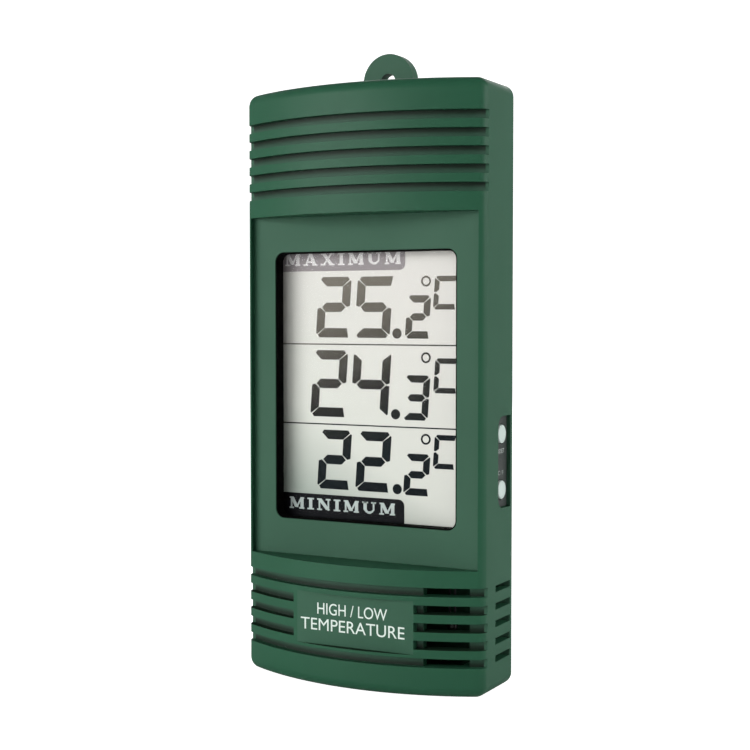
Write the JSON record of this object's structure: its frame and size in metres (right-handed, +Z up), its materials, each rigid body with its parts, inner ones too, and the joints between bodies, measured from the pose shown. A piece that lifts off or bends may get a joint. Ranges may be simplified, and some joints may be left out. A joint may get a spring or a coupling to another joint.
{
  "type": "maximum minimum thermometer",
  "caption": "Upright digital maximum and minimum thermometer: bulged, ribbed green case with a three-row display, side buttons, air vents, hanging eye and rear battery door.",
  "frame": {"origin": "middle of the case's base, at mid depth", "axes": "+X to the right of someone reading the display, +Y from the display to the back, +Z up"},
  "size_m": [0.07, 0.027, 0.1654],
  "materials": {
    "case_plastic": "fine-textured moulded ABS, dark green",
    "black_plastic": "smooth moulded black ABS",
    "plate_plastic": "satin black polycarbonate film",
    "clear_plastic": "clear acrylic",
    "lcd_glass": "display glass",
    "lcd_film": "grey-green polarising film",
    "mirror_film": "aluminised reflector film",
    "zebra_rubber": "layered silicone connector",
    "board_laminate": "glass-fibre laminate with solder mask",
    "black_epoxy": "black epoxy",
    "nickel_plate": "nickel-plated steel",
    "zinc_steel": "zinc-plated steel",
    "ceramic": "ceramic chip body",
    "white_plastic": "satin white ABS",
    "tinned_copper": "tinned copper wire",
    "red_insulation": "red PVC insulation",
    "black_insulation": "black PVC insulation",
    "cell_jacket": "printed cell jacket"
  },
  "bodies": {
    "case": {"front_shell": "case_plastic", "rear_cover": "case_plastic", "display_bezel": "black_plastic", "window_lens": "clear_plastic", "lcd_front_polariser": "lcd_film", "lcd_front_glass": "lcd_glass", "lcd_rear_glass": "lcd_glass", "lcd_reflector": "mirror_film", "zebra_strip_upper": "zebra_rubber", "zebra_strip_lower": "zebra_rubber", "circuit_board": "board_laminate", "chip_blob": "black_epoxy", "timing_crystal": "nickel_plate", "chip_capacitors": "ceramic", "button_plate": "plate_plastic", "thermistor": "black_epoxy", "thermistor_leads": "tinned_copper", "battery_cell": "cell_jacket", "battery_contact_plus": "nickel_plate", "battery_contact_minus": "nickel_plate", "positive_lead": "red_insulation", "negative_lead": "black_insulation", "clear_switch_body": "black_plastic", "unit_switch_body": "black_plastic", "case_screws": "zinc_steel", "board_screws": "zinc_steel"},
    "clear_button": {"clear_button": "white_plastic", "clear_switch_plunger": "white_plastic"},
    "unit_button": {"unit_button": "white_plastic", "unit_switch_plunger": "white_plastic"},
    "battery_door": {"battery_door": "case_plastic"}
  },
  "joints": [
    {"name": "clear_button_press", "type": "slide", "parent": "case", "child": "clear_button", "axis": [-1, 0, 0], "range_m": [0, 0.0005], "stiffness_N_per_m": 800},
    {"name": "unit_button_press", "type": "slide", "parent": "case", "child": "unit_button", "axis": [-1, 0, 0], "range_m": [0, 0.0005], "stiffness_N_per_m": 800},
    {"name": "battery_door_tilt", "type": "hinge", "parent": "case", "child": "battery_door", "pos_m": [0, 0.0135, 0.1302], "axis": [-1, 0, 0], "range_deg": [0, 45]}
  ]
}
